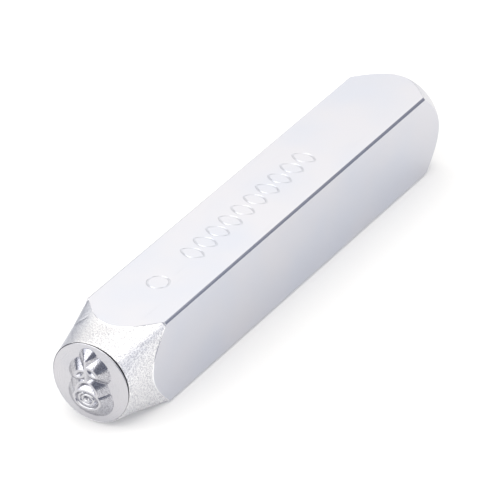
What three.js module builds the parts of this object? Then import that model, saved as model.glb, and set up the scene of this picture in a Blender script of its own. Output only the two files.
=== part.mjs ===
// Stamping tool for leather: a square steel shank with a round stamping die let into its nose.
// Millimetres, +Z up. The tool lies on one flank along X, with the die towards -X.
// The origin is under the middle of the tool, on the surface that the tool lies on.
// Stations along the tool are counted backwards from the flat face of the die.
import * as THREE from 'three';

// Shank
const OVERALL_LENGTH = 64.2;
const SHANK_WIDTH = 10;
const EDGE_CHAMFER = 0.28;
// Nose: straight lines run from the die's rim to a scalloped edge on each flank
const SCALLOP_START = 3.9;
const SCALLOP_ANGLE = THREE.MathUtils.degToRad(30);
const NOSE_RIM_RADIUS = 4.73;
// Striking end: a cone turned on the square bar
const STRIKING_RADIUS = 4.86;
const STRIKING_ANGLE = THREE.MathUtils.degToRad(32.5);
// Die: a disc with a raised design, and a spigot behind it
const DISC_RADIUS = 4.7;
const DISC_THICKNESS = 0.25;
const DISC_BEVEL = 0.12;
const SPIGOT_RADIUS = 3;
const SPIGOT_LENGTH = 8;
const SEAM_GAP = 0.12;
const SEAT_CLEARANCE = 0.05;
const SEAT_END_CLEARANCE = 0.3;
// Raised design: lines with sloping walls
const RELIEF_HEIGHT = 0.9;
const LINE_WIDTH = 0.16;
const WALL_SLOPE = Math.tan(THREE.MathUtils.degToRad(38));
const RELIEF_RING_STEP = 0.2;
const RELIEF_EDGE_RADIUS = 4.4;
// The design's own sizes, in Y and Z about the tool's axis
const FLOWER = { centreZ: -1.65, halfWidth: 1.59, halfHeight: 1.06 };
const CUP = { centreZ: -1, halfWidth: 1.29, halfHeight: 1.53 };
const STEM = { bottomZ: 0.53, topZ: 3 };
const LEAVES = [
  { baseZ: 1.8, tipY: 1.38, tipZ: 0.9 },
  { baseZ: 2.25, tipY: -1.42, tipZ: 1.5 },
];
const LEAF_BULGE = 0.48;
const COIL = { centreZ: -1.57, startRadius: 1, endRadius: 0.21, flattening: 0.74 };
const COIL_START = THREE.MathUtils.degToRad(62);
const COIL_TURNS = 1.65;
// Facets of round stretches
const SECTORS_PER_QUARTER = 24;
const POINTS_PER_STROKE = 40;

const HALF_WIDTH = SHANK_WIDTH / 2;
const FACE_X = RELIEF_HEIGHT - OVERALL_LENGTH / 2;
const SHANK_END = OVERALL_LENGTH - RELIEF_HEIGHT;
const NOSE_FRONT = DISC_THICKNESS + SEAM_GAP;
const QUARTER = Math.PI / 2;

const platedShank = new THREE.MeshStandardMaterial({ color: 0xdfe2e8, roughness: 0.28, metalness: 1 });
const platedDie = new THREE.MeshStandardMaterial({ color: 0xd2d3d9, roughness: 0.34, metalness: 1 });

// Distance from the axis to the surface of the chamfered square bar, along a polar angle.
function barRadius(angle) {
  const c = Math.abs(Math.cos(angle));
  const s = Math.abs(Math.sin(angle));
  const toFlank = HALF_WIDTH / Math.max(c, s);
  const toChamfer = (SHANK_WIDTH - EDGE_CHAMFER) / (c + s);
  return Math.min(toFlank, toChamfer);
}

// Polar angles round the axis, with one on each edge of each chamfer.
function polarAngles() {
  const chamferEdge = Math.atan2(HALF_WIDTH - EDGE_CHAMFER, HALF_WIDTH);
  const angles = [];
  for (let quarter = 0; quarter < 4; quarter += 1) {
    const first = quarter * QUARTER;
    for (let i = 0; i < SECTORS_PER_QUARTER; i += 1) angles.push(first + (i * QUARTER) / SECTORS_PER_QUARTER);
    angles.push(first + chamferEdge, first + QUARTER - chamferEdge);
  }
  return angles.sort((a, b) => a - b);
}

// One closed skin about the tool's axis. Each ring gives a station and a radius for a polar angle,
// and the skin closes on the axis at the first and the last station.
function polarSkin(firstStation, rings, lastStation) {
  const angles = polarAngles();
  const count = angles.length;
  const points = [firstStation, 0, 0];
  for (const ring of rings) {
    for (const angle of angles) {
      const [station, radius] = ring(angle);
      points.push(station, radius * Math.cos(angle), radius * Math.sin(angle));
    }
  }
  points.push(lastStation, 0, 0);
  const last = 1 + rings.length * count;
  const faces = [];
  for (let j = 0; j < count; j += 1) {
    const next = (j + 1) % count;
    faces.push(0, 1 + next, 1 + j);
    for (let i = 0; i + 1 < rings.length; i += 1) {
      const near = 1 + i * count;
      const far = near + count;
      faces.push(near + j, near + next, far + next, near + j, far + next, far + j);
    }
    faces.push(last, last - count + j, last - count + next);
  }
  const skin = new THREE.BufferGeometry();
  skin.setAttribute('position', new THREE.Float32BufferAttribute(points, 3));
  skin.setIndex(faces);
  skin.computeVertexNormals();
  return skin;
}

const circle = (station, radius) => () => [station, radius];

function shankGeometry() {
  const seatRadius = SPIGOT_RADIUS + SEAT_CLEARANCE;
  const seatFloor = SPIGOT_LENGTH + SEAT_END_CLEARANCE;
  const noseScallops = (angle) => {
    const radius = barRadius(angle);
    return [SCALLOP_START + (radius - HALF_WIDTH) / Math.tan(SCALLOP_ANGLE), radius];
  };
  const strikingScallops = (angle) => {
    const radius = barRadius(angle);
    return [SHANK_END - (radius - STRIKING_RADIUS) / Math.tan(STRIKING_ANGLE), radius];
  };
  return polarSkin(seatFloor, [
    circle(seatFloor, seatRadius),
    circle(NOSE_FRONT, seatRadius),
    circle(NOSE_FRONT, NOSE_RIM_RADIUS),
    noseScallops,
    strikingScallops,
    circle(SHANK_END, STRIKING_RADIUS),
  ], SHANK_END);
}

// Half of a leaf's outline is one curve from its base to its tip.
function leafEdge(leaf, bulge) {
  const base = new THREE.Vector2(0, leaf.baseZ);
  const tip = new THREE.Vector2(leaf.tipY, leaf.tipZ);
  const along = tip.clone().sub(base);
  const aside = new THREE.Vector2(-along.y, along.x).normalize().multiplyScalar(bulge);
  const nearBase = base.clone().addScaledVector(along, 0.3).add(aside);
  const nearTip = base.clone().addScaledVector(along, 0.75).add(aside);
  return new THREE.CubicBezierCurve(base, nearBase, nearTip, tip);
}

// A coil that closes in on a point, for the petals inside the flower.
function petalCoil() {
  const coil = [];
  for (let i = 0; i <= POINTS_PER_STROKE; i += 1) {
    const t = i / POINTS_PER_STROKE;
    const radius = THREE.MathUtils.lerp(COIL.startRadius, COIL.endRadius, t ** 1.5);
    const angle = COIL_START - t * COIL_TURNS * 2 * Math.PI;
    const height = COIL.flattening * radius * Math.sin(angle);
    coil.push(new THREE.Vector2(radius * Math.cos(angle), COIL.centreZ + height));
  }
  return coil;
}

// The design is a plain flower on a stem with two leaves, in Y and Z about the tool's axis.
function designStrokes() {
  const { centreZ, halfWidth, halfHeight } = FLOWER;
  const flower = new THREE.EllipseCurve(0, centreZ, halfWidth, halfHeight, 0, 2 * Math.PI);
  const cup = new THREE.EllipseCurve(0, CUP.centreZ, CUP.halfWidth, CUP.halfHeight, 0, Math.PI);
  const stem = new THREE.LineCurve(new THREE.Vector2(0, STEM.bottomZ), new THREE.Vector2(0, STEM.topZ));
  const leaves = LEAVES.flatMap((leaf) => [leafEdge(leaf, LEAF_BULGE), leafEdge(leaf, -LEAF_BULGE)]);
  const strokes = [flower, cup, stem, ...leaves].map((curve) => curve.getPoints(POINTS_PER_STROKE));
  strokes.push(petalCoil());
  return strokes;
}

function distanceToSegment(point, from, to) {
  const along = to.clone().sub(from);
  const part = THREE.MathUtils.clamp(point.clone().sub(from).dot(along) / along.lengthSq(), 0, 1);
  return point.distanceTo(from.clone().addScaledVector(along, part));
}

// Height of the raised design above the disc: full on a line, then down a sloping wall.
function reliefHeight(point, strokes) {
  let nearest = Infinity;
  for (const stroke of strokes) {
    for (let i = 1; i < stroke.length; i += 1) {
      nearest = Math.min(nearest, distanceToSegment(point, stroke[i - 1], stroke[i]));
    }
  }
  const fromLine = Math.max(0, nearest - LINE_WIDTH / 2);
  return Math.max(0, RELIEF_HEIGHT - fromLine * WALL_SLOPE);
}

function dieGeometry() {
  const strokes = designStrokes();
  const rings = [];
  for (let radius = RELIEF_RING_STEP; radius < RELIEF_EDGE_RADIUS; radius += RELIEF_RING_STEP) {
    rings.push((angle) => {
      const point = new THREE.Vector2(radius * Math.cos(angle), radius * Math.sin(angle));
      return [-reliefHeight(point, strokes), radius];
    });
  }
  rings.push(
    circle(0, DISC_RADIUS - DISC_BEVEL),
    circle(DISC_BEVEL, DISC_RADIUS),
    circle(DISC_THICKNESS, DISC_RADIUS),
    circle(DISC_THICKNESS, SPIGOT_RADIUS),
    circle(SPIGOT_LENGTH, SPIGOT_RADIUS),
  );
  return polarSkin(-reliefHeight(new THREE.Vector2(0, 0), strokes), rings, SPIGOT_LENGTH);
}

function part(name, geometry, material) {
  const mesh = new THREE.Mesh(geometry, material);
  mesh.name = name;
  return mesh;
}

const stampingTool = new THREE.Group();
stampingTool.add(
  part('shank', shankGeometry(), platedShank),
  part('stamping_die', dieGeometry(), platedDie),
);
stampingTool.position.set(FACE_X, 0, HALF_WIDTH);

export default stampingTool;
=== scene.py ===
"""Stamping tool for leather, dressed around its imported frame.

A square plated shank lies on one flank along X, and a round die with a raised flower sits in its nose.
Both are closed skins about the tool's axis. Stations are counted backwards along the tool from the flat
face of the die, as in the frame's design, and polar angles are counted from +Y towards +Z.
"""
import math

import bmesh
import bpy
import numpy as np
from mathutils import Matrix, Vector


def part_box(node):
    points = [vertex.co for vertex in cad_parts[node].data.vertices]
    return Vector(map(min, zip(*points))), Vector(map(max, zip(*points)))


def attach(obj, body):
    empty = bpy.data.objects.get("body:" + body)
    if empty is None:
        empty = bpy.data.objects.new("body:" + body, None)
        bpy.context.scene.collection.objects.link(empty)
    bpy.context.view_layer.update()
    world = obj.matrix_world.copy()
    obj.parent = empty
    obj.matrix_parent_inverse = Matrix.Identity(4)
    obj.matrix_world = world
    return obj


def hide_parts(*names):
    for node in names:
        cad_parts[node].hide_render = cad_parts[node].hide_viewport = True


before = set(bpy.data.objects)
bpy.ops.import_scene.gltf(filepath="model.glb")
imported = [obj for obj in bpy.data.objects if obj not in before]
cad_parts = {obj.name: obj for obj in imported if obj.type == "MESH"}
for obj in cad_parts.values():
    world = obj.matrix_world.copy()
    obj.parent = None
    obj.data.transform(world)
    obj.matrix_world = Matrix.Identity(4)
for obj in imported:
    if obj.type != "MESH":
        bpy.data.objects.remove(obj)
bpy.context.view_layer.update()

MM = 0.001
SHANK_LOW, SHANK_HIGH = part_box("shank")
DIE_LOW, DIE_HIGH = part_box("stamping_die")

# ---------------------------------------------------------------- driving values, with lengths in metres

# Shank
HALF_WIDTH = (SHANK_HIGH.y - SHANK_LOW.y) / 2
AXIS_HEIGHT = (SHANK_HIGH.z + SHANK_LOW.z) / 2
FRONT_CHAMFER = 0.22 * MM
REAR_CHAMFER = 0.30 * MM
STRIKING_RADIUS = 4.86 * MM
STRIKING_ANGLE = math.radians(32.5)
SHANK_SECTORS_PER_QUARTER = 48

# Nose: it reaches back from a round rim to a scalloped edge on each flank
NOSE_RIM_RADIUS = 4.75 * MM
SCALLOP_START = 3.9 * MM
RIGHT_SCALLOP_START = 4.35 * MM
SCALLOP_END = 7.25 * MM
APEX_RADIUS = 6.83 * MM
APEX_SOFTNESS = 0.08 * MM
NOSE_STEP = 0.09 * MM
# Its corners are ridges, rounded to this angle on each side at the rim and less and less towards the step
RIDGE_SPREAD = math.radians(9)
RIDGE_FADE = 0.7
RIDGE_SAMPLES = 4
# A line that the lathe left across its corners. Shares run from 0 at the rim to 1 at the step
TURNED_LINE_RADIUS = 5.65 * MM
TURNED_LINE_DEPTH = 0.05 * MM
TURNED_LINE_HALF_SHARE = 0.03
TURNED_LINE_LAST_SHARE = 0.85
# Rings of the nose, as parts of the way from the rim to the line, and from the line to the step
RINGS_BEFORE_LINE = (0.12, 0.35, 0.6, 0.82)
RINGS_BEYOND_LINE = (0.3, 0.5, 0.7, 0.85, 0.95)

# Rounding of the shank's edges: the full width, and each edge's share of it
EDGE_ROUNDING = 0.07 * MM
RIM_SHARE = 0.3
STEP_SHARE = 0.25
FRONT_SHARE = 0.3
BACK_SHARE = 0.35
END_SHARE = 1.0
CHAMFER_SHARE = 0.5
# Points that lie closer together than this are merged
SLIVER = 0.001 * MM

# Die
RELIEF_HEIGHT = 0.9 * MM
FACE_X = DIE_LOW.x + RELIEF_HEIGHT
DISC_RADIUS = DIE_HIGH.y - 0.05 * MM
DISC_THICKNESS = 0.25 * MM
DISC_BEVEL = 0.08 * MM
DISC_BACK_BEVEL = 0.05 * MM
SPIGOT_RADIUS = 3 * MM
DIE_SECTORS = 480
RELIEF_STEP = 0.033 * MM
RELIEF_EDGE = 4.4 * MM

# The recess that holds the die. The die isn't quite central in it, and its lip is chipped at one side
LIP_STATION = 0.07 * MM
RECESS_FLOOR = 0.3 * MM
SEAM_GAP_LEAST = 0.008 * MM
SEAM_GAP_MOST = 0.08 * MM
SEAM_WIDEST_AT = math.radians(95)
CRESCENT_DEPTH = 0.2 * MM
CRESCENT_AT = math.radians(145)
CRESCENT_REACH = math.radians(55)
SEAT_CLEARANCE = 0.05 * MM
SEAT_END_CLEARANCE = 0.3 * MM

SHANK_END = SHANK_HIGH.x - FACE_X
SPIGOT_LENGTH = DIE_HIGH.x - FACE_X
SEAT_FLOOR = SPIGOT_LENGTH + SEAT_END_CLEARANCE

# Raised design, in Y and Z about the tool's axis
LINE_WIDTH = 0.16 * MM
WALL_SLOPE = math.tan(math.radians(38))
RIDGE_SOFTNESS = 0.03 * MM
FOOT_SOFTNESS = 0.05 * MM
FLOWER_HEIGHT = -1.65 * MM
FLOWER_RADII = (1.59 * MM, 1.06 * MM)
CUP_HEIGHT = -1.0 * MM
CUP_RADII = (1.29 * MM, 1.53 * MM)
STEM_FROM, STEM_TO = 0.53 * MM, 3.0 * MM
# Each leaf: the height at which it leaves the stem, and the place of its tip
LEAVES = ((1.8 * MM, (1.38 * MM, 0.9 * MM)), (2.25 * MM, (-1.42 * MM, 1.5 * MM)))
LEAF_BULGE = 0.48 * MM
COIL_HEIGHT = -1.57 * MM
COIL_RADII = (1.0 * MM, 0.21 * MM)
COIL_FLATTENING = 0.74
COIL_START = math.radians(62)
COIL_TURNS = 1.65
COIL_TIGHTENING = 1.5
ELLIPSE_POINTS = 90
CUP_POINTS = 60
LEAF_POINTS = 25
COIL_POINTS = 90
# Inside the flower, where the petals' lines lie close together, the walls are steeper
PETAL_STEEPNESS = 1.2
PETAL_BORDER = 0.1
# Below the first height the design counts as the disc's face, and above the second as a ridge top, which
# takes the brighter disc plating as a painted highlight
FLAT_BELOW = 0.02 * MM
HIGHLIGHT_RIDGE_ABOVE = 0.85 * MM

# Engraved row of plain marks on the upper flank
MARK_DEPTH = 0.05 * MM
MARK_WIDTH = 0.24 * MM
MARK_LIFT = 0.03 * MM
MARK_MITRE_LEAST = 0.3
# The groove's section: a share of its half width, and a share of its depth
MARK_PROFILE = ((-1, 0), (-0.6, 0.75), (0, 1), (0.6, 0.75), (1, 0))
MARK_POINTS = 24
RING_STATION = 13.3 * MM
RING_RADIUS = 1.2 * MM
LOZENGES = 10
FIRST_LOZENGE = 20 * MM
LOZENGE_PITCH = 2.5 * MM
LOZENGE_REACH = (0.9 * MM, 1.4 * MM)
LOZENGE_FULLNESS = 1.3

# Camera
CAMERA_AIM = Vector((-0.98, -0.59, 5.0)) * MM
CAMERA_DISTANCE = 555.05 * MM
CAMERA_HEADING = math.radians(33.24)
CAMERA_DIP = math.radians(31.77)
CAMERA_ROLL = math.radians(2.17)
CAMERA_LENS = 370.4
CAMERA_CLIP = 10 * MM

# Studio: a light tent that leans to the tool's left, three soft panels, and pale paper underneath
TENT_LEAN = math.radians(11.5)
TENT_DIM_BELOW = 0.41
TENT_BRIGHT_ABOVE = 0.61
TENT_DIM = (0.31, 0.325, 0.39, 1)
TENT_BRIGHT = (1.58, 1.55, 1.49, 1)
# Each panel: its name, its place, its size and its watts
PANELS = (
    ("front_panel", (-0.52, 0.35, 0.33), (0.85, 0.5), 2.0),
    ("side_panel", (0.17, -0.54, 0.2), (0.42, 0.36), 0.42),
    ("corner_panel", (0.17, -0.33, 0.47), (0.5, 0.34), 0.25),
)
PAPER_REACH = 1.5
PAPER_WHITE = 0.74
PAPER_GLOW = 0.18

# Texture scales, in features per millimetre along X, Y and Z
EVEN = (1, 1, 1)
FINE_LINES = (0.05, 6, 6)
STRAY_MARKS = (0.15, 2.2, 2.2)
# Where an effect begins or ends across the tool, in millimetres to the left of its axis: the painted
# reflection that deepens the nose's tone, and the wear of its pits
REFLECTION_LEAN_FROM = 1.7
WEAR_FROM, WEAR_TO = -0.5, 2.0


# ---------------------------------------------------------------- node helpers

def socket(group, name, kind, value=None, output=False):
    """One named socket on a node group's interface."""
    side = "OUTPUT" if output else "INPUT"
    made = group.interface.new_socket(name=name, in_out=side, socket_type=kind)
    if value is not None:
        made.default_value = value


def node(tree, kind, label, **inputs):
    """A labelled node with its unlinked inputs set by name."""
    made = tree.nodes.new(kind)
    made.label = label
    for key, value in inputs.items():
        made.inputs[key].default_value = value
    return made


def feed(tree, value, target):
    """Gives an input either a number or a link."""
    if isinstance(value, (int, float)):
        target.default_value = value
    else:
        tree.links.new(value, target)


def maths(tree, operation, a, b, label, clamp=False):
    """A maths node fed by sockets or numbers."""
    made = node(tree, "ShaderNodeMath", label)
    made.operation = operation
    made.use_clamp = clamp
    feed(tree, a, made.inputs[0])
    feed(tree, b, made.inputs[1])
    return made.outputs[0]


def remap(tree, value, low, high, to_low, to_high, label):
    """Maps one range of values to another, without going past either end."""
    made = node(tree, "ShaderNodeMapRange", label)
    for key, number in zip(("From Min", "From Max", "To Min", "To Max"), (low, high, to_low, to_high)):
        feed(tree, number, made.inputs[key])
    tree.links.new(value, made.inputs["Value"])
    return made.outputs["Result"]


def mixed(tree, factor, label, a=None, b=None):
    """A colour mix. Colours left out are linked by the caller."""
    made = node(tree, "ShaderNodeMix", label)
    made.data_type = "RGBA"
    tree.links.new(factor, made.inputs["Factor"])
    for key, colour in (("A", a), ("B", b)):
        if colour is not None:
            made.inputs[key].default_value = colour
    return made


def stretched(tree, scale, label):
    """Object coordinates in millimetres, stretched along the axes."""
    place = node(tree, "ShaderNodeTexCoord", "object space").outputs["Object"]
    made = node(tree, "ShaderNodeMapping", label)
    made.inputs["Scale"].default_value = [value / MM for value in scale]
    tree.links.new(place, made.inputs["Vector"])
    return made.outputs["Vector"]


def across_tool(tree, spot):
    """How far a spot lies to the left of the tool's axis."""
    sides = node(tree, "ShaderNodeSeparateXYZ", "across the tool")
    tree.links.new(spot, sides.inputs[0])
    return sides.outputs["Y"]


def noise(tree, vector, detail, roughness, label):
    made = node(tree, "ShaderNodeTexNoise", label, Scale=1, Detail=detail, Roughness=roughness)
    tree.links.new(vector, made.inputs["Vector"])
    return made.outputs["Fac"]


def new_group(name):
    group = bpy.data.node_groups.new(name, "ShaderNodeTree")
    return group, group.nodes.new("NodeGroupInput"), group.nodes.new("NodeGroupOutput")


# ---------------------------------------------------------------- shared effects

def drawn_scratches():
    """Fine marks along the bar, from drawing and handling: a height and a mask."""
    group, inside, outside = new_group("drawn_scratches")
    socket(group, "Amount", "NodeSocketFloat", 0.5)
    socket(group, "Height", "NodeSocketFloat", output=True)
    socket(group, "Mask", "NodeSocketFloat", output=True)
    fine = noise(group, stretched(group, FINE_LINES, "long fine lines"), 3, 0.6, "fine lines")
    strong = noise(group, stretched(group, STRAY_MARKS, "stray marks"), 2, 0.5, "stray marks")
    stray = remap(group, strong, 0.66, 0.72, 0, 1, "only the strongest")
    both = maths(group, "ADD", fine, stray, "fine and stray")
    height = maths(group, "MULTIPLY", both, inside.outputs["Amount"], "height")
    mask = maths(group, "MULTIPLY", stray, inside.outputs["Amount"], "mask", clamp=True)
    group.links.new(height, outside.inputs["Height"])
    group.links.new(mask, outside.inputs["Mask"])
    return group


def plating_tone_and_reflection():
    """Slow drift between two tones of the plating, and a painted reflection that can turn it towards the
    deep tone on the left.
    """
    group, inside, outside = new_group("plating_tone_and_reflection")
    socket(group, "Light", "NodeSocketColor", (0.75, 0.76, 0.78, 1))
    socket(group, "Deep", "NodeSocketColor", (0.70, 0.72, 0.76, 1))
    socket(group, "Size", "NodeSocketFloat", 0.12)
    socket(group, "Drift", "NodeSocketFloat", 1.0)
    socket(group, "Lean", "NodeSocketFloat", 0.0)
    socket(group, "Color", "NodeSocketColor", output=True)
    spot = stretched(group, EVEN, "millimetres")
    cloud = node(group, "ShaderNodeTexNoise", "slow drift", Detail=2, Roughness=0.4)
    group.links.new(spot, cloud.inputs["Vector"])
    group.links.new(inside.outputs["Size"], cloud.inputs["Scale"])
    drift = remap(group, cloud.outputs["Fac"], 0.35, 0.65, 0, inside.outputs["Drift"], "spread")
    # Towards the left the tone turns deeper: a painted reflection of the surroundings.
    to_left = maths(group, "SUBTRACT", across_tool(group, spot), REFLECTION_LEAN_FROM, "from left of the middle")
    painted_reflection = maths(group, "MULTIPLY", to_left, inside.outputs["Lean"], "leaning to the left")
    factor = maths(group, "ADD", drift, painted_reflection, "drift and lean", clamp=True)
    mix = mixed(group, factor, "light to deep")
    group.links.new(inside.outputs["Light"], mix.inputs["A"])
    group.links.new(inside.outputs["Deep"], mix.inputs["B"])
    group.links.new(mix.outputs["Result"], outside.inputs["Color"])
    return group


def blasted_grain():
    """The speckle of a blasted surface: a height, and a mask of pits that may be worn on the left."""
    group, inside, outside = new_group("blasted_grain")
    socket(group, "Size", "NodeSocketFloat", 5.0)
    socket(group, "Amount", "NodeSocketFloat", 1.0)
    socket(group, "Worn", "NodeSocketFloat", 0.0)
    socket(group, "Height", "NodeSocketFloat", output=True)
    socket(group, "Pits", "NodeSocketFloat", output=True)
    spot = stretched(group, EVEN, "millimetres")
    grain = node(group, "ShaderNodeTexNoise", "grain", Detail=1, Roughness=0.5)
    cells = node(group, "ShaderNodeTexVoronoi", "dents")
    for texture in (grain, cells):
        group.links.new(spot, texture.inputs["Vector"])
        group.links.new(inside.outputs["Size"], texture.inputs["Scale"])
    height = maths(group, "ADD", grain.outputs["Fac"], cells.outputs["Distance"], "grain and dents")
    deep = remap(group, grain.outputs["Fac"], 0.42, 0.62, 0, inside.outputs["Amount"], "deep grain")
    left = remap(group, across_tool(group, spot), WEAR_FROM, WEAR_TO, 0, 1, "towards the left")
    worn = maths(group, "MULTIPLY", left, inside.outputs["Worn"], "worn on the left")
    kept = maths(group, "SUBTRACT", 1.0, worn, "what wear leaves")
    pits = maths(group, "MULTIPLY", deep, kept, "pits", clamp=True)
    group.links.new(height, outside.inputs["Height"])
    group.links.new(pits, outside.inputs["Pits"])
    return group


def turning_marks():
    """Fine rings about the tool's axis, left by turning."""
    group, inside, outside = new_group("turning_marks")
    socket(group, "Pitch", "NodeSocketFloat", 9.0)
    socket(group, "Height", "NodeSocketFloat", output=True)
    place = node(group, "ShaderNodeTexCoord", "object space").outputs["Object"]
    centred = node(group, "ShaderNodeMapping", "about the axis")
    centred.inputs["Location"].default_value = (0, 0, -AXIS_HEIGHT / MM)
    centred.inputs["Scale"].default_value = (0, 1 / MM, 1 / MM)
    group.links.new(place, centred.inputs["Vector"])
    length = node(group, "ShaderNodeVectorMath", "distance from the axis")
    length.operation = "LENGTH"
    group.links.new(centred.outputs["Vector"], length.inputs[0])
    rings = maths(group, "MULTIPLY", length.outputs["Value"], inside.outputs["Pitch"], "rings")
    grooves = node(group, "ShaderNodeTexNoise", "uneven rings", Scale=1, Detail=2, Roughness=0.7)
    grooves.noise_dimensions = "1D"
    group.links.new(rings, grooves.inputs["W"])
    group.links.new(grooves.outputs["Fac"], outside.inputs["Height"])
    return group


SCRATCHES = drawn_scratches()
TONE_AND_REFLECTION = plating_tone_and_reflection()
GRAIN = blasted_grain()
TURNING = turning_marks()


def use(tree, group, **inputs):
    """Places a shared effect in a material, with its own values."""
    made = tree.nodes.new("ShaderNodeGroup")
    made.node_tree = group
    made.label = group.name
    for key, value in inputs.items():
        made.inputs[key].default_value = value
    return made


def bump(tree, shader, height, strength, depth, label):
    """Raises a shader's surface by a height."""
    made = node(tree, "ShaderNodeBump", label, Strength=strength, Distance=depth)
    tree.links.new(height, made.inputs["Height"])
    tree.links.new(made.outputs["Normal"], shader.inputs["Normal"])


def metal(name, light, deep, size, drift=1.0, reflection_lean=0.0):
    """A plated metal with its slow tone drift linked in."""
    material = bpy.data.materials.new(name)
    material.use_nodes = True
    tree = material.node_tree
    shader = tree.nodes["Principled BSDF"]
    shader.inputs["Metallic"].default_value = 1.0
    tone = use(tree, TONE_AND_REFLECTION, Light=(*light, 1), Deep=(*deep, 1), Size=size, Drift=drift, Lean=reflection_lean)
    tree.links.new(tone.outputs["Color"], shader.inputs["Base Color"])
    return material, tree, shader, tone.outputs["Color"]


def pitted(tree, shader, tone, grain, pit_colour, smooth, rough):
    """Makes a metal darker and rougher in the pits of its grain."""
    mix = mixed(tree, grain.outputs["Pits"], "darker in the pits", b=(*pit_colour, 1))
    tree.links.new(tone, mix.inputs["A"])
    tree.links.new(mix.outputs["Result"], shader.inputs["Base Color"])
    roughness = remap(tree, grain.outputs["Pits"], 0, 1, smooth, rough, "rougher in the pits")
    tree.links.new(roughness, shader.inputs["Roughness"])


# ---------------------------------------------------------------- materials

def flank_material():
    """Bright satin plating on the ground flanks."""
    light, deep = (0.618, 0.62, 0.664), (0.584, 0.603, 0.668)
    material, tree, shader, _ = metal("plated_flank", light, deep, size=0.13)
    marks = use(tree, SCRATCHES, Amount=0.35)
    rough = remap(tree, marks.outputs["Mask"], 0, 1, 0.2, 0.3, "rougher in the marks")
    tree.links.new(rough, shader.inputs["Roughness"])
    bump(tree, shader, marks.outputs["Height"], strength=0.12, depth=0.01 * MM, label="drawn lines")
    return material


def nose_material():
    """Matt, grainy plating on the blasted nose, turned deeper and bluer towards the left as a painted
    reflection.
    """
    light, deep = (0.87, 0.87, 0.88), (0.575, 0.595, 0.65)
    # The lean paints the nose deeper and bluer towards the left: a painted reflection.
    material, tree, shader, tone = metal("blasted_nose", light, deep, size=0.3, drift=0.25, reflection_lean=0.5)
    grain = use(tree, GRAIN, Size=7.5, Amount=0.7, Worn=0.3)
    pitted(tree, shader, tone, grain, (0.41, 0.41, 0.46), smooth=0.3, rough=0.42)
    bump(tree, shader, grain.outputs["Height"], strength=0.8, depth=0.032 * MM, label="grain")
    return material


def relief_material():
    """Bright plating on the walls of the raised design, with a fine dark grain."""
    light, deep = (0.56, 0.555, 0.59), (0.51, 0.515, 0.56)
    material, tree, shader, tone = metal("plated_relief", light, deep, size=0.8)
    grain = use(tree, GRAIN, Size=10.0)
    pitted(tree, shader, tone, grain, (0.27, 0.27, 0.30), smooth=0.09, rough=0.22)
    bump(tree, shader, grain.outputs["Height"], strength=0.35, depth=0.01 * MM, label="tool marks")
    return material


def turned_material(name, light, deep, roughness, pitch=12.0):
    """Satin plating over fine turning marks."""
    material, tree, shader, _ = metal(name, light, deep, size=0.4)
    rings = use(tree, TURNING, Pitch=pitch)
    rough = remap(tree, rings.outputs["Height"], 0.3, 0.7, roughness - 0.04, roughness + 0.06, "satin")
    tree.links.new(rough, shader.inputs["Roughness"])
    bump(tree, shader, rings.outputs["Height"], strength=0.15, depth=0.01 * MM, label="turned rings")
    return material


def floor_material():
    """Plain pale paper."""
    material = bpy.data.materials.new("pale_paper")
    material.use_nodes = True
    shader = material.node_tree.nodes["Principled BSDF"]
    shader.inputs["Base Color"].default_value = (PAPER_WHITE, PAPER_WHITE, PAPER_WHITE, 1)
    shader.inputs["Roughness"].default_value = 0.9
    shader.inputs["Specular IOR Level"].default_value = 0.1
    shader.inputs["Emission Color"].default_value = (1, 1, 1, 1)
    shader.inputs["Emission Strength"].default_value = PAPER_GLOW
    return material


FLANK = flank_material()
NOSE = nose_material()
RELIEF = relief_material()
STRIKING = turned_material("turned_end", (0.65, 0.65, 0.68), (0.62, 0.63, 0.67), roughness=0.3, pitch=9.0)
DISC = turned_material("satin_disc", (0.58, 0.575, 0.605), (0.555, 0.555, 0.59), roughness=0.3)
# The dark seam plating is painted shade: it darkens the walls of the die's seat and the die's side, back
# and spigot, where the gap lies in shadow.
SEAM_SHADE = turned_material("painted_shade_seam", (0.22, 0.22, 0.24), (0.15, 0.15, 0.17), roughness=0.5)
PETALS = turned_material("burnished_petals", (0.57, 0.57, 0.6), (0.53, 0.535, 0.57), roughness=0.16)
# The near-white step plating is a painted highlight along the edges between the nose and the flanks.
STEP_HIGHLIGHT = turned_material("painted_highlight_step", (0.93, 0.93, 0.94), (0.9, 0.9, 0.92), roughness=0.22)


# ---------------------------------------------------------------- skins about the axis

def circle(station, radius):
    return lambda angle: (station, radius)


def bar_radius(angle, chamfer):
    """Distance from the axis to the chamfered square bar, along a polar angle."""
    c, s = abs(math.cos(angle)), abs(math.sin(angle))
    to_flank = HALF_WIDTH / max(c, s)
    to_chamfer = (2 * HALF_WIDTH - chamfer) / (c + s)
    return min(to_flank, to_chamfer)


def bar_angles(sectors_per_quarter, chamfer):
    """Polar angles, with one on each edge of each chamfer. Also gives the chamfer edges' indices."""
    edge = math.atan2(HALF_WIDTH - chamfer, HALF_WIDTH)
    quarter = math.pi / 2
    plain = [k * quarter / sectors_per_quarter for k in range(sectors_per_quarter)]
    first = sorted(plain + [edge, quarter - edge])
    angles = [q * quarter + angle for q in range(4) for angle in first]
    chamfers = [q * len(first) + first.index(angle) for q in range(4) for angle in (edge, quarter - edge)]
    return angles, chamfers


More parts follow.
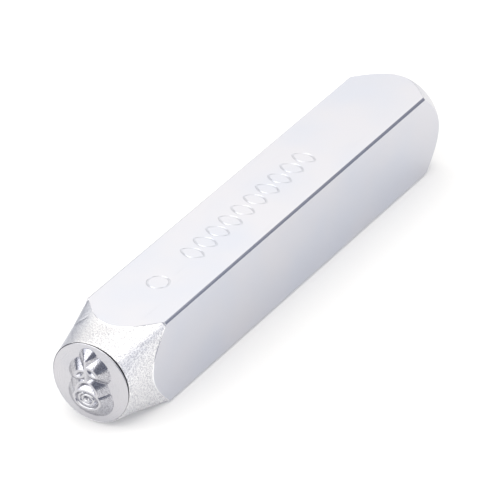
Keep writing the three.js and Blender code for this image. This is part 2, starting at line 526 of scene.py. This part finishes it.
def polar_skin(angles, first, rings, last, bands):
    """A closed skin. Each ring gives (station, radius) for an angle.

    bands holds a material index for the faces before each ring, and one for those after the last.
    """
    bm = bmesh.new()
    start = bm.verts.new((FACE_X + first, 0, AXIS_HEIGHT))
    rows = []
    for ring in rings:
        row = []
        for angle in angles:
            station, radius = ring(angle)
            place = (FACE_X + station, radius * math.cos(angle), AXIS_HEIGHT + radius * math.sin(angle))
            row.append(bm.verts.new(place))
        rows.append(row)
    end = bm.verts.new((FACE_X + last, 0, AXIS_HEIGHT))
    for j in range(len(angles)):
        k = (j + 1) % len(angles)
        bm.faces.new((start, rows[0][k], rows[0][j])).material_index = bands[0]
        for near, far, band in zip(rows[:-1], rows[1:], bands[1:]):
            bm.faces.new((near[j], near[k], far[k], far[j])).material_index = band
        bm.faces.new((end, rows[-1][j], rows[-1][k])).material_index = bands[-1]
    return bm, rows


def finish_piece(name, bm, materials):
    """Turns a bmesh into a smooth-shaded object with its materials."""
    mesh = bpy.data.meshes.new(name)
    bm.normal_update()
    bm.to_mesh(mesh)
    bm.free()
    for material in materials:
        mesh.materials.append(material)
    mesh.shade_smooth()
    piece = bpy.data.objects.new(name, mesh)
    bpy.context.scene.collection.objects.link(piece)
    return piece


def apply_modifiers(piece):
    """Keeps what the modifiers make, and drops the modifiers."""
    bpy.context.view_layer.update()
    graph = bpy.context.evaluated_depsgraph_get()
    made = bpy.data.meshes.new_from_object(piece.evaluated_get(graph), depsgraph=graph)
    piece.modifiers.clear()
    piece.data = made


def merge_slivers(piece):
    """Merges the slivers that rounding and cutting leave."""
    bm = bmesh.new()
    bm.from_mesh(piece.data)
    bmesh.ops.remove_doubles(bm, verts=bm.verts[:], dist=SLIVER)
    bmesh.ops.dissolve_degenerate(bm, edges=bm.edges[:], dist=SLIVER)
    bm.to_mesh(piece.data)
    bm.free()


# ---------------------------------------------------------------- shank

def crescent(angle):
    """Share of the chipped crescent in the nose's lip: 1 at its middle, 0 outside it."""
    turn = (angle - CRESCENT_AT + math.pi) % (2 * math.pi) - math.pi
    return math.cos(turn / CRESCENT_REACH * math.pi / 2) if abs(turn) < CRESCENT_REACH else 0.0


def nose_front(angle):
    """Station of the nose's lip, which stands round the die except in the crescent."""
    return LIP_STATION + crescent(angle) * CRESCENT_DEPTH


def recess_lip(angle):
    """The lip's inner edge, at an uneven distance from the die."""
    share = (0.5 + 0.5 * math.cos(angle - SEAM_WIDEST_AT)) ** 2
    return nose_front(angle), DISC_RADIUS + SEAM_GAP_LEAST + share * (SEAM_GAP_MOST - SEAM_GAP_LEAST)


def recess_floor(angle):
    return RECESS_FLOOR, recess_lip(angle)[1]


def nose_rim(angle):
    return nose_front(angle), NOSE_RIM_RADIUS


def nose_reach(angle):
    """Station and radius where the nose meets a flank, with a blunt apex at each chamfer."""
    radius = bar_radius(angle, FRONT_CHAMFER)
    blunt = 0.5 * (radius + APEX_RADIUS - math.hypot(radius - APEX_RADIUS, APEX_SOFTNESS))
    corner = (2 * HALF_WIDTH - FRONT_CHAMFER) / math.sqrt(2)
    on_right = -math.cos(angle) > abs(math.sin(angle))
    start = RIGHT_SCALLOP_START if on_right else SCALLOP_START
    return start + (blunt - HALF_WIDTH) / (corner - HALF_WIDTH) * (SCALLOP_END - start), blunt


def nose_scallops(angle):
    return nose_reach(angle)[0], bar_radius(angle, FRONT_CHAMFER)


def nose_step(angle):
    """The foot of the small step between the nose and the flanks."""
    station, radius = nose_reach(angle)
    return station - NOSE_STEP, radius - NOSE_STEP


def striking_scallops(angle):
    radius = bar_radius(angle, REAR_CHAMFER)
    return SHANK_END - (radius - STRIKING_RADIUS) / math.tan(STRIKING_ANGLE), radius


def nose_surface(angle, share):
    """A point of the nose, at a share of the way from its rim to its step."""
    front = nose_front(angle)
    spread = RIDGE_SPREAD * (1 - share) ** RIDGE_FADE
    turns = [k / RIDGE_SAMPLES for k in range(-RIDGE_SAMPLES, RIDGE_SAMPLES + 1)]
    around = [nose_step(angle + spread * turn) for turn in turns]
    station = sum(place[0] for place in around) / len(around)
    radius = sum(place[1] for place in around) / len(around)
    return front + share * (station - front), NOSE_RIM_RADIUS + share * (radius - NOSE_RIM_RADIUS)


def turned_line_share(angle):
    """The share at which the turned line lies, and whether it shows there."""
    share = (TURNED_LINE_RADIUS - NOSE_RIM_RADIUS) / (nose_step(angle)[1] - NOSE_RIM_RADIUS)
    return min(share, TURNED_LINE_LAST_SHARE), share < TURNED_LINE_LAST_SHARE


def before_line(part):
    """A ring at a part of the way from the nose's rim to the turned line."""
    return lambda angle: nose_surface(angle, part * turned_line_share(angle)[0])


def beyond_line(part):
    """A ring at a part of the way from the turned line to the step."""
    def ring(angle):
        share = turned_line_share(angle)[0]
        return nose_surface(angle, share + part * (1 - share))
    return ring


def turned_line(offset, depth):
    """One of the turned line's rings: its two edges or its bottom."""
    def ring(angle):
        share, shows = turned_line_share(angle)
        station, radius = nose_surface(angle, share + offset)
        return station, radius - (depth if shows else 0)
    return ring


def shank_piece():
    """The bar, its scalloped nose, its seat for the die and its coned striking end."""
    angles, chamfers = bar_angles(SHANK_SECTORS_PER_QUARTER, (FRONT_CHAMFER + REAR_CHAMFER) / 2)
    seat_radius = SPIGOT_RADIUS + SEAT_CLEARANCE
    seat_rings = [
        circle(SEAT_FLOOR, seat_radius),
        circle(RECESS_FLOOR, seat_radius),
        recess_floor,
        recess_lip,
    ]
    nose_rings = [
        nose_rim,
        *[before_line(part) for part in RINGS_BEFORE_LINE],
        turned_line(-TURNED_LINE_HALF_SHARE, 0),
        turned_line(0, TURNED_LINE_DEPTH),
        turned_line(TURNED_LINE_HALF_SHARE, 0),
        *[beyond_line(part) for part in RINGS_BEYOND_LINE],
        nose_step,
    ]
    bar_rings = [nose_scallops, striking_scallops, circle(SHANK_END, STRIKING_RADIUS)]
    # The step's near-white plating is a painted highlight.
    materials = (FLANK, NOSE, STRIKING, SEAM_SHADE, STEP_HIGHLIGHT)
    flank, nose, striking, seam_shade, step_highlight = range(len(materials))
    # The seat's walls take the dark seam plating, a painted shade.
    bands = [seam_shade] * len(seat_rings) + [nose] * len(nose_rings) + [step_highlight, flank, striking, striking]
    bm, rows = polar_skin(angles, SEAT_FLOOR, seat_rings + nose_rings + bar_rings, SHANK_END, bands)
    rim, (foot, front, back, end) = rows[len(seat_rings)], rows[-4:]
    weight = bm.edges.layers.float.new("bevel_weight_edge")
    shares = (RIM_SHARE, STEP_SHARE, FRONT_SHARE, BACK_SHARE, END_SHARE)
    for row, share in zip((rim, foot, front, back, end), shares):
        for j, vertex in enumerate(row):
            bm.edges.get((vertex, row[(j + 1) % len(row)]))[weight] = share
    for j in chamfers:
        bm.edges.get((front[j], back[j]))[weight] = CHAMFER_SHARE
    return finish_piece("shank_body", bm, materials)


def round_edges(piece):
    bevel = piece.modifiers.new("rounded_edges", "BEVEL")
    bevel.limit_method = "WEIGHT"
    bevel.width = EDGE_ROUNDING
    bevel.segments = 3
    bevel.use_clamp_overlap = True


def even_shading(piece):
    """Lets the large flat faces decide how the rounded edges beside them are shaded."""
    shading = piece.modifiers.new("even_shading", "WEIGHTED_NORMAL")
    shading.mode = "FACE_AREA_WITH_ANGLE"
    shading.weight = 80
    shading.keep_sharp = True
    apply_modifiers(piece)


# ---------------------------------------------------------------- engraved marks

def groove_loop(bm, corners):
    """A closed cutter with a rounded section, which follows a flat outline on the upper flank."""
    sections = []
    for i, corner in enumerate(corners):
        ahead = (corners[(i + 1) % len(corners)] - corner).normalized()
        behind = (corner - corners[i - 1]).normalized()
        aside = Vector((ahead.y + behind.y, -ahead.x - behind.x, 0)).normalized()
        square = aside.dot(Vector((ahead.y, -ahead.x, 0)))
        reach = MARK_WIDTH / 2 / max(MARK_MITRE_LEAST, square)
        section = []
        for across, depth in MARK_PROFILE:
            height = SHANK_HIGH.z + (MARK_LIFT if depth == 0 else -depth * MARK_DEPTH)
            section.append(bm.verts.new(corner + aside * across * reach + Vector((0, 0, height))))
        sections.append(section)
    for i, section in enumerate(sections):
        following = sections[(i + 1) % len(sections)]
        for j in range(len(section)):
            k = (j + 1) % len(section)
            bm.faces.new((section[j], section[k], following[k], following[j]))


def mark_outline(station, reach, fullness):
    """An outline in the plane of the upper flank: fullness 1 is an oval, and more is nearer a lozenge."""
    corners = []
    for i in range(MARK_POINTS):
        angle = 2 * math.pi * i / MARK_POINTS
        c, s = math.cos(angle), math.sin(angle)
        along = math.copysign(abs(c) ** fullness, c)
        across = math.copysign(abs(s) ** fullness, s)
        corners.append(Vector((FACE_X + station + reach[0] * along, reach[1] * across, 0)))
    return corners


def mark_cutter():
    """One plain ring, then a row of plain lozenges along the middle of the upper flank."""
    bm = bmesh.new()
    groove_loop(bm, mark_outline(RING_STATION, (RING_RADIUS, RING_RADIUS), 1.0))
    for i in range(LOZENGES):
        groove_loop(bm, mark_outline(FIRST_LOZENGE + i * LOZENGE_PITCH, LOZENGE_REACH, LOZENGE_FULLNESS))
    bmesh.ops.recalc_face_normals(bm, faces=bm.faces[:])
    mesh = bpy.data.meshes.new("mark_cutter")
    bm.to_mesh(mesh)
    bm.free()
    cutter = bpy.data.objects.new("mark_cutter", mesh)
    bpy.context.scene.collection.objects.link(cutter)
    return cutter


def engrave(piece):
    """Cuts the marks into the piece."""
    cutter = mark_cutter()
    cut = piece.modifiers.new("engraving", "BOOLEAN")
    cut.operation = "DIFFERENCE"
    cut.solver = "EXACT"
    cut.object = cutter
    apply_modifiers(piece)
    bpy.data.objects.remove(cutter)


# ---------------------------------------------------------------- die

def ellipse(height, radii, last, count):
    """An ellipse, or its part up to an angle in degrees."""
    t = np.radians(np.linspace(0, last, count))
    return np.column_stack((radii[0] * np.cos(t), height + radii[1] * np.sin(t)))


def leaf_edge(base_height, tip, bulge):
    """One side of a leaf, from its base on the stem to its tip, as a cubic curve."""
    base, tip = np.array((0.0, base_height)), np.array(tip)
    along = tip - base
    aside = np.array((-along[1], along[0])) / np.linalg.norm(along) * bulge
    near_base, near_tip = base + 0.3 * along + aside, base + 0.75 * along + aside
    t = np.linspace(0, 1, LEAF_POINTS)[:, None]
    return ((1 - t) ** 3 * base + 3 * t * (1 - t) ** 2 * near_base
            + 3 * t ** 2 * (1 - t) * near_tip + t ** 3 * tip)


def petal_coil():
    """A coil that closes in on a point, for the petals inside the flower."""
    first, last = COIL_RADII
    t = np.linspace(0, 1, COIL_POINTS)
    radius = first + (last - first) * t ** COIL_TIGHTENING
    angle = COIL_START - t * COIL_TURNS * 2 * math.pi
    return np.column_stack((radius * np.cos(angle), COIL_HEIGHT + COIL_FLATTENING * radius * np.sin(angle)))


def design_strokes():
    """A plain flower on a stem with two leaves."""
    strokes = [
        ellipse(FLOWER_HEIGHT, FLOWER_RADII, 360, ELLIPSE_POINTS),
        ellipse(CUP_HEIGHT, CUP_RADII, 180, CUP_POINTS),
        np.array(((0, STEM_FROM), (0, STEM_TO))),
        petal_coil(),
    ]
    for bulge in (LEAF_BULGE, -LEAF_BULGE):
        strokes += [leaf_edge(base_height, tip, bulge) for base_height, tip in LEAVES]
    return strokes


def distance_to_strokes(points, strokes):
    """Distance from each point to the nearest stroke."""
    nearest = np.full(len(points), np.inf)
    for stroke in strokes:
        for a, b in zip(stroke[:-1], stroke[1:]):
            along = b - a
            part = np.clip(((points - a) @ along) / (along @ along), 0, 1)
            gap = points - a - part[:, None] * along
            nearest = np.minimum(nearest, np.hypot(gap[:, 0], gap[:, 1]))
    return nearest


def reach_from_flower(across, up):
    """0 at the flower's middle and 1 on its outer line, for places about the tool's axis."""
    return np.hypot(across / FLOWER_RADII[0], (up - FLOWER_HEIGHT) / FLOWER_RADII[1])


def wall_steepness(points):
    """1 outside the flower, and more inside it."""
    inside = 1 - reach_from_flower(points[:, 0], points[:, 1])
    return 1 + PETAL_STEEPNESS * np.clip(inside / PETAL_BORDER, 0, 1)


def relief_heights(points, strokes):
    """Height of the raised design: full on a line, then down a sloping wall, with softened corners."""
    from_line = distance_to_strokes(points, strokes) - LINE_WIDTH / 2
    from_line *= wall_steepness(points)
    fall = 0.5 * (from_line + np.sqrt(from_line ** 2 + RIDGE_SOFTNESS ** 2)) * WALL_SLOPE
    raw = RELIEF_HEIGHT - fall
    foot = 0.25 * FOOT_SOFTNESS ** 2 / RELIEF_HEIGHT
    return 0.5 * (raw + np.sqrt(raw ** 2 + FOOT_SOFTNESS ** 2)) - foot


def relief_rings(angles):
    """The rings of the raised design, and the height at its centre."""
    radii = np.arange(RELIEF_STEP, RELIEF_EDGE, RELIEF_STEP)
    strokes = design_strokes()
    grid = np.array([(r * math.cos(a), r * math.sin(a)) for r in radii for a in angles])
    heights = relief_heights(grid, strokes).reshape(len(radii), len(angles))
    heights[-1] = 0
    index = {angle: j for j, angle in enumerate(angles)}

    def ring(i):
        return lambda angle: (-float(heights[i, index[angle]]), float(radii[i]))

    centre = float(relief_heights(np.zeros((1, 2)), strokes)[0])
    return [ring(i) for i in range(len(radii))], centre


def die_piece():
    """The disc with its raised flower, and the spigot behind it."""
    angles = [2 * math.pi * j / DIE_SECTORS for j in range(DIE_SECTORS)]
    design_rings, centre = relief_rings(angles)
    bend = DISC_BEVEL * (1 - math.cos(math.radians(45)))
    face_rings = [
        circle(0, DISC_RADIUS - DISC_BEVEL - DISC_BACK_BEVEL),
        circle(0, DISC_RADIUS - DISC_BEVEL),
        circle(bend, DISC_RADIUS - bend),
        circle(DISC_BEVEL, DISC_RADIUS),
    ]
    back_rings = [
        circle(DISC_THICKNESS - DISC_BACK_BEVEL, DISC_RADIUS),
        circle(DISC_THICKNESS, DISC_RADIUS - DISC_BACK_BEVEL),
        circle(DISC_THICKNESS, SPIGOT_RADIUS),
        circle(SPIGOT_LENGTH, SPIGOT_RADIUS),
    ]
    materials = (DISC, RELIEF, SEAM_SHADE, PETALS)
    disc, relief, seam_shade, petals = range(len(materials))
    # The die's side, back and spigot take the dark seam plating, a painted shade.
    bands = [relief] * len(design_rings) + [disc] * len(face_rings) + [seam_shade] * (len(back_rings) + 1)
    bm, _ = polar_skin(angles, -centre, design_rings + face_rings + back_rings, SPIGOT_LENGTH, bands)
    for face in bm.faces:
        if face.material_index != relief:
            continue
        middle = face.calc_center_median()
        height = FACE_X - middle.x
        if reach_from_flower(middle.y, middle.z - AXIS_HEIGHT) < 1:
            face.material_index = petals
        # Ridge tops take the brighter disc plating: a painted highlight.
        elif height < FLAT_BELOW or height > HIGHLIGHT_RIDGE_ABOVE:
            face.material_index = disc
    return finish_piece("flower_die", bm, materials)


# ---------------------------------------------------------------- studio

def lay_floor():
    bm = bmesh.new()
    bmesh.ops.create_grid(bm, x_segments=1, y_segments=1, size=PAPER_REACH)
    mesh = bpy.data.meshes.new("floor")
    bm.to_mesh(mesh)
    bm.free()
    mesh.materials.append(floor_material())
    floor = bpy.data.objects.new("floor", mesh)
    bpy.context.scene.collection.objects.link(floor)


def softbox(name, place, size, watts):
    """A rectangular lamp that faces the tool."""
    lamp = bpy.data.lights.new(name, "AREA")
    lamp.shape = "RECTANGLE"
    lamp.size, lamp.size_y = size
    lamp.energy = watts
    holder = bpy.data.objects.new(name, lamp)
    holder.location = place
    holder.rotation_euler = Vector(place).to_track_quat("Z", "Y").to_euler()
    bpy.context.scene.collection.objects.link(holder)


def tent_world():
    """A light tent that leans to the left of the tool: dim at the tool's height, bright overhead."""
    world = bpy.data.worlds.new("light_tent")
    world.use_nodes = True
    tree = world.node_tree
    place = node(tree, "ShaderNodeTexCoord", "direction")
    height = node(tree, "ShaderNodeVectorMath", "height in the leaning tent")
    height.operation = "DOT_PRODUCT"
    height.inputs[1].default_value = (0, math.sin(TENT_LEAN), math.cos(TENT_LEAN))
    tree.links.new(place.outputs["Generated"], height.inputs[0])
    rise = node(tree, "ShaderNodeMapRange", "from the dim band to the bright top")
    rise.interpolation_type = "SMOOTHSTEP"
    rise.inputs["From Min"].default_value = TENT_DIM_BELOW
    rise.inputs["From Max"].default_value = TENT_BRIGHT_ABOVE
    tree.links.new(height.outputs["Value"], rise.inputs["Value"])
    mix = mixed(tree, rise.outputs["Result"], "tent", a=TENT_DIM, b=TENT_BRIGHT)
    tree.links.new(mix.outputs["Result"], tree.nodes["Background"].inputs["Color"])
    bpy.context.scene.world = world


def place_camera():
    """The camera, from its aim, distance, heading, dip and roll."""
    forward = Vector((math.cos(CAMERA_DIP) * math.cos(CAMERA_HEADING),
                      math.cos(CAMERA_DIP) * math.sin(CAMERA_HEADING),
                      -math.sin(CAMERA_DIP)))
    level = forward.cross(Vector((0, 0, 1))).normalized()
    right = Matrix.Rotation(CAMERA_ROLL, 3, forward) @ level
    up = right.cross(forward)
    camera = bpy.data.objects.new("camera", bpy.data.cameras.new("camera"))
    camera.data.lens = CAMERA_LENS
    camera.data.clip_start = CAMERA_CLIP
    turn = Matrix((right, up, -forward)).transposed().to_4x4()
    camera.matrix_world = Matrix.Translation(CAMERA_AIM - forward * CAMERA_DISTANCE) @ turn
    bpy.context.scene.collection.objects.link(camera)
    bpy.context.scene.camera = camera


# ---------------------------------------------------------------- assembly


place_camera()
tent_world()
for panel in PANELS:
    softbox(*panel)
lay_floor()
bpy.context.scene.view_settings.view_transform = "Standard"

shank = shank_piece()
round_edges(shank)
engrave(shank)
merge_slivers(shank)
even_shading(shank)
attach(shank, "root")
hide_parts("shank")

die = die_piece()
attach(die, "root")
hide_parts("stamping_die")
